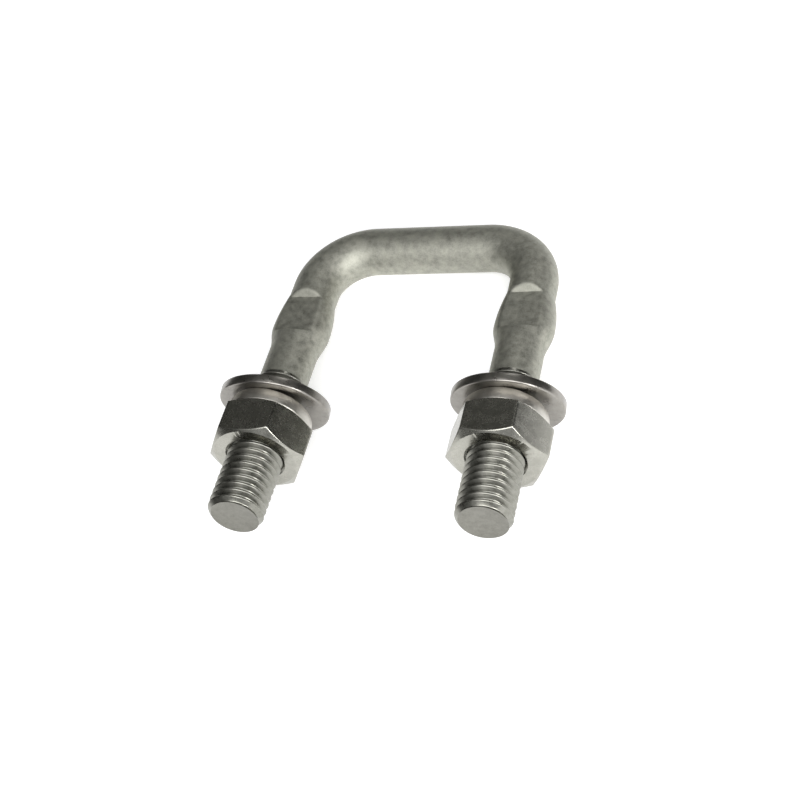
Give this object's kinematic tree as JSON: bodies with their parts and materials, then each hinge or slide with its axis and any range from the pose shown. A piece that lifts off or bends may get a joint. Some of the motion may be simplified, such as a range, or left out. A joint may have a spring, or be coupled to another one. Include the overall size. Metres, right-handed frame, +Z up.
{
  "type": "square u-bolt with nuts and washers",
  "caption": "Square-cornered U-bolt of an overhead line clamp, with pressed flats on both legs and a flat washer, spring washer and hexagon nut on each thread",
  "frame": {"origin": "centre of the bounding box on the floor, halfway between the two legs", "axes": "+X along the crossbar towards the right leg, +Y from the thread ends to the crossbar, +Z up from the floor the part lies on"},
  "size_m": [0.0764, 0.0808, 0.0241],
  "materials": {
    "galvanised_bar": "dull mottled zinc coating, warm grey",
    "washer_steel": "zinc coated, rolled rim, satin",
    "spring_steel": "zinc coated spring wire, satin",
    "nut_steel": "zinc coated, machined faces, satin"
  },
  "bodies": {
    "u_bolt": {"u_bolt": "galvanised_bar"},
    "left_washers": {"left_flat_washer": "washer_steel", "left_spring_washer": "spring_steel"},
    "left_nut": {"left_hex_nut": "nut_steel"},
    "right_washers": {"right_flat_washer": "washer_steel", "right_spring_washer": "spring_steel"},
    "right_nut": {"right_hex_nut": "nut_steel"}
  },
  "joints": [
    {"name": "left_washers_slide", "type": "slide", "parent": "u_bolt", "child": "left_washers", "axis": [0.0209, 0.9887, -0.1484], "range_m": [-0.0151, 0.0112]},
    {"name": "left_nut_turn", "type": "hinge", "parent": "left_washers", "child": "left_nut", "pos_m": [-0.02632, -0.01565, 0.01291], "axis": [0.0209, 0.9887, -0.1484], "range_deg": [-3106.3, 2304]},
    {"name": "right_washers_slide", "type": "slide", "parent": "u_bolt", "child": "right_washers", "axis": [-0.0209, 0.9887, -0.1484], "range_m": [-0.0151, 0.0112]},
    {"name": "right_nut_turn", "type": "hinge", "parent": "right_washers", "child": "right_nut", "pos_m": [0.02632, -0.01565, 0.01291], "axis": [-0.0209, 0.9887, -0.1484], "range_deg": [-3106.3, 2304]}
  ],
  "couplings": [
    {"joint": "left_washers_slide", "follows": "left_nut_turn", "m_per_rad": 0.00027852},
    {"joint": "right_washers_slide", "follows": "right_nut_turn", "m_per_rad": 0.00027852}
  ]
}
